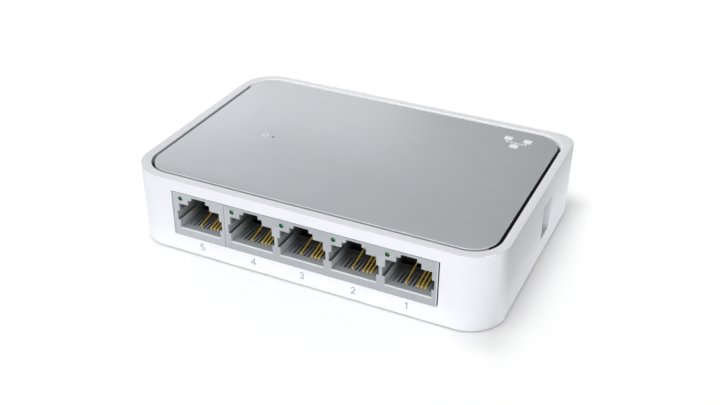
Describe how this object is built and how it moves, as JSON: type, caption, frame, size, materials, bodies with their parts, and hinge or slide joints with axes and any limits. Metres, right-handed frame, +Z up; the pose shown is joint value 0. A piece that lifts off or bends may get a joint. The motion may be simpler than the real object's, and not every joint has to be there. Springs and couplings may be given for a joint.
{
  "type": "desktop network switch",
  "caption": "Low rounded box with a row of square sockets along one long side, an inset top plate, lamps beside the sockets and a power inlet at one end.",
  "frame": {"origin": "on the ground, under the centre of the case", "axes": "+X to the right as seen from the port side, +Y away from the ports, +Z up"},
  "size_m": [0.1036, 0.07, 0.022],
  "materials": {
    "case_white": "satin moulded ABS",
    "plate_grey": "fine metallic grey paint",
    "cover_white": "fine texture",
    "rubber_black": "matt",
    "board_green": "solder mask",
    "jack_grey": "moulded thermoplastic",
    "contact_gold": "gold plated",
    "lens_green": "tinted lens",
    "lens_clear": "clear polycarbonate",
    "chip_black": "moulded epoxy",
    "inlet_black": "moulded nylon",
    "nickel": "nickel plated",
    "screw_steel": "zinc plated",
    "sleeve_blue": "shrink sleeve"
  },
  "bodies": {
    "switch_body": {"upper_case": "case_white", "top_plate": "plate_grey", "base_cover": "cover_white", "rubber_foot_1": "rubber_black", "rubber_foot_2": "rubber_black", "rubber_foot_3": "rubber_black", "rubber_foot_4": "rubber_black", "circuit_board": "board_green", "board_screw_1": "screw_steel", "board_screw_2": "screw_steel", "switch_chip": "chip_black", "port_transformer_1_2": "chip_black", "port_transformer_3_4": "chip_black", "port_transformer_5": "chip_black", "voltage_regulator": "chip_black", "power_inductor": "chip_black", "smoothing_capacitor_1": "sleeve_blue", "smoothing_capacitor_2": "sleeve_blue", "clock_crystal": "nickel", "quad_jack_housing": "jack_grey", "single_jack_housing": "jack_grey", "link_lamp_1": "lens_green", "link_lamp_2": "lens_green", "link_lamp_3": "lens_green", "link_lamp_4": "lens_green", "link_lamp_5": "lens_green", "power_led": "lens_clear", "power_light_pipe": "lens_clear", "inlet_housing": "inlet_black", "inlet_pin": "nickel"},
    "port_1_contacts": {"contact_wire_1_1": "contact_gold", "contact_wire_1_2": "contact_gold", "contact_wire_1_3": "contact_gold", "contact_wire_1_6": "contact_gold"},
    "port_2_contacts": {"contact_wire_2_1": "contact_gold", "contact_wire_2_2": "contact_gold", "contact_wire_2_3": "contact_gold", "contact_wire_2_6": "contact_gold"},
    "port_3_contacts": {"contact_wire_3_1": "contact_gold", "contact_wire_3_2": "contact_gold", "contact_wire_3_3": "contact_gold", "contact_wire_3_6": "contact_gold"},
    "port_4_contacts": {"contact_wire_4_1": "contact_gold", "contact_wire_4_2": "contact_gold", "contact_wire_4_3": "contact_gold", "contact_wire_4_6": "contact_gold"},
    "port_5_contacts": {"contact_wire_5_1": "contact_gold", "contact_wire_5_2": "contact_gold", "contact_wire_5_3": "contact_gold", "contact_wire_5_6": "contact_gold"},
    "inlet_leaf": {"inlet_leaf_contact": "nickel"}
  },
  "joints": [
    {"name": "port_1_contacts_flex", "type": "hinge", "parent": "switch_body", "child": "port_1_contacts", "pos_m": [0.02956, -0.0317, 0.0076], "axis": [-1, 0, 0], "range_deg": [0, 8], "stiffness_Nm_per_rad": 0.1, "springref_deg": -2.86},
    {"name": "port_2_contacts_flex", "type": "hinge", "parent": "switch_body", "child": "port_2_contacts", "pos_m": [0.01505, -0.0317, 0.0076], "axis": [-1, 0, 0], "range_deg": [0, 8], "stiffness_Nm_per_rad": 0.1, "springref_deg": -2.86},
    {"name": "port_3_contacts_flex", "type": "hinge", "parent": "switch_body", "child": "port_3_contacts", "pos_m": [0.00054, -0.0317, 0.0076], "axis": [-1, 0, 0], "range_deg": [0, 8], "stiffness_Nm_per_rad": 0.1, "springref_deg": -2.86},
    {"name": "port_4_contacts_flex", "type": "hinge", "parent": "switch_body", "child": "port_4_contacts", "pos_m": [-0.01397, -0.0317, 0.0076], "axis": [-1, 0, 0], "range_deg": [0, 8], "stiffness_Nm_per_rad": 0.1, "springref_deg": -2.86},
    {"name": "port_5_contacts_flex", "type": "hinge", "parent": "switch_body", "child": "port_5_contacts", "pos_m": [-0.02958, -0.0317, 0.0076], "axis": [-1, 0, 0], "range_deg": [0, 8], "stiffness_Nm_per_rad": 0.1, "springref_deg": -2.86},
    {"name": "inlet_leaf_flex", "type": "hinge", "parent": "switch_body", "child": "inlet_leaf", "pos_m": [0.03655, 0.00715, 0.00695], "axis": [0, 1, 0], "range_deg": [0, 6], "stiffness_Nm_per_rad": 0.1, "springref_deg": -2.86}
  ]
}
